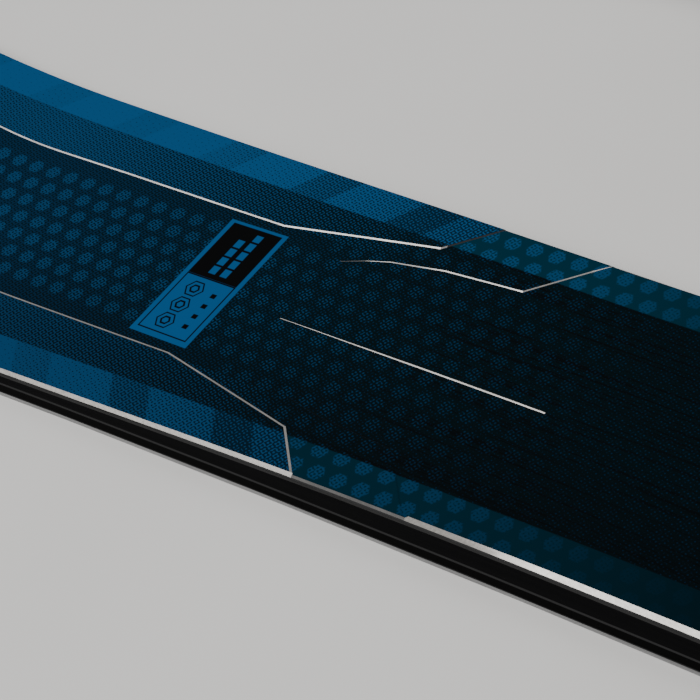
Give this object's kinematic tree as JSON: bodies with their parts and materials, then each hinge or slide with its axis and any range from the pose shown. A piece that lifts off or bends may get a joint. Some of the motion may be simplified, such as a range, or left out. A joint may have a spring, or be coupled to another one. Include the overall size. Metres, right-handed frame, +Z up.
{
  "type": "splitboard",
  "caption": "Splitboard in touring mode: two mirrored half boards with steel edges, inserts, seam hooks and swivel latches that join them into one snowboard.",
  "frame": {"origin": "on the ground, midway between the two halves and midway along the board", "axes": "+X towards the nose, +Y towards the outer edge of the left half, +Z up out of the topsheet"},
  "size_m": [1.59, 0.465, 0.0387],
  "materials": {
    "base_material": "sintered polyethylene, structured and waxed",
    "laminate": "glass fibre in epoxy",
    "edge_steel": "ground and slightly dulled",
    "damping_rubber": "matt",
    "sidewall": "machined ABS",
    "core_poplar": "planed poplar",
    "core_ash": "planed ash",
    "spacer": "ABS sheet",
    "topsheet": "printed polyamide, semi-gloss",
    "insert_steel": "turned stainless",
    "screw_steel": "satin stainless",
    "hook_metal": "black anodised",
    "latch_metal": "bead-blasted",
    "plate_metal": "black anodised"
  },
  "bodies": {
    "left_half": {"left_base": "base_material", "left_core_ash": "core_ash", "left_core_poplar": "core_poplar", "left_edge_damping": "damping_rubber", "left_hardware_screws": "screw_steel", "left_inner_edge": "edge_steel", "left_inner_sidewall": "sidewall", "left_inserts": "insert_steel", "left_lower_laminate": "laminate", "left_nose_base": "base_material", "left_nose_spacer": "spacer", "left_outer_edge": "edge_steel", "left_outer_sidewall": "sidewall", "left_tail_base": "base_material", "left_tail_spacer": "spacer", "left_topsheet": "topsheet", "left_upper_laminate": "laminate", "nose_latch_plate": "plate_metal", "nose_latch_pivot": "screw_steel", "tail_latch_plate": "plate_metal", "tail_latch_pivot": "screw_steel", "front_seam_hook": "hook_metal", "rear_seam_hook": "hook_metal"},
    "right_half": {"right_base": "base_material", "right_core_ash": "core_ash", "right_core_poplar": "core_poplar", "right_edge_damping": "damping_rubber", "right_hardware_screws": "screw_steel", "right_inner_edge": "edge_steel", "right_inner_sidewall": "sidewall", "right_inserts": "insert_steel", "right_lower_laminate": "laminate", "right_nose_base": "base_material", "right_nose_spacer": "spacer", "right_outer_edge": "edge_steel", "right_outer_sidewall": "sidewall", "right_tail_base": "base_material", "right_tail_spacer": "spacer", "right_topsheet": "topsheet", "right_upper_laminate": "laminate", "nose_keeper_plate": "plate_metal", "nose_keeper_stud": "screw_steel", "tail_keeper_plate": "plate_metal", "tail_keeper_stud": "screw_steel", "front_seam_keeper": "hook_metal", "rear_seam_keeper": "hook_metal"},
    "nose_latch": {"nose_latch_arm": "latch_metal"},
    "tail_latch": {"tail_latch_arm": "latch_metal"}
  },
  "joints": [
    {"name": "halves_join", "type": "slide", "parent": "left_half", "child": "right_half", "axis": [0, 1, 0], "range_m": [0, 0.1597]},
    {"name": "nose_latch_swing", "type": "hinge", "parent": "left_half", "child": "nose_latch", "pos_m": [0.74906, 0.098, 0.02645], "axis": [-0.2181, 0, 0.9759], "range_deg": [0, 90]},
    {"name": "tail_latch_swing", "type": "hinge", "parent": "left_half", "child": "tail_latch", "pos_m": [-0.73914, 0.098, 0.01643], "axis": [-0.1253, 0, -0.9921], "range_deg": [0, 90]}
  ]
}
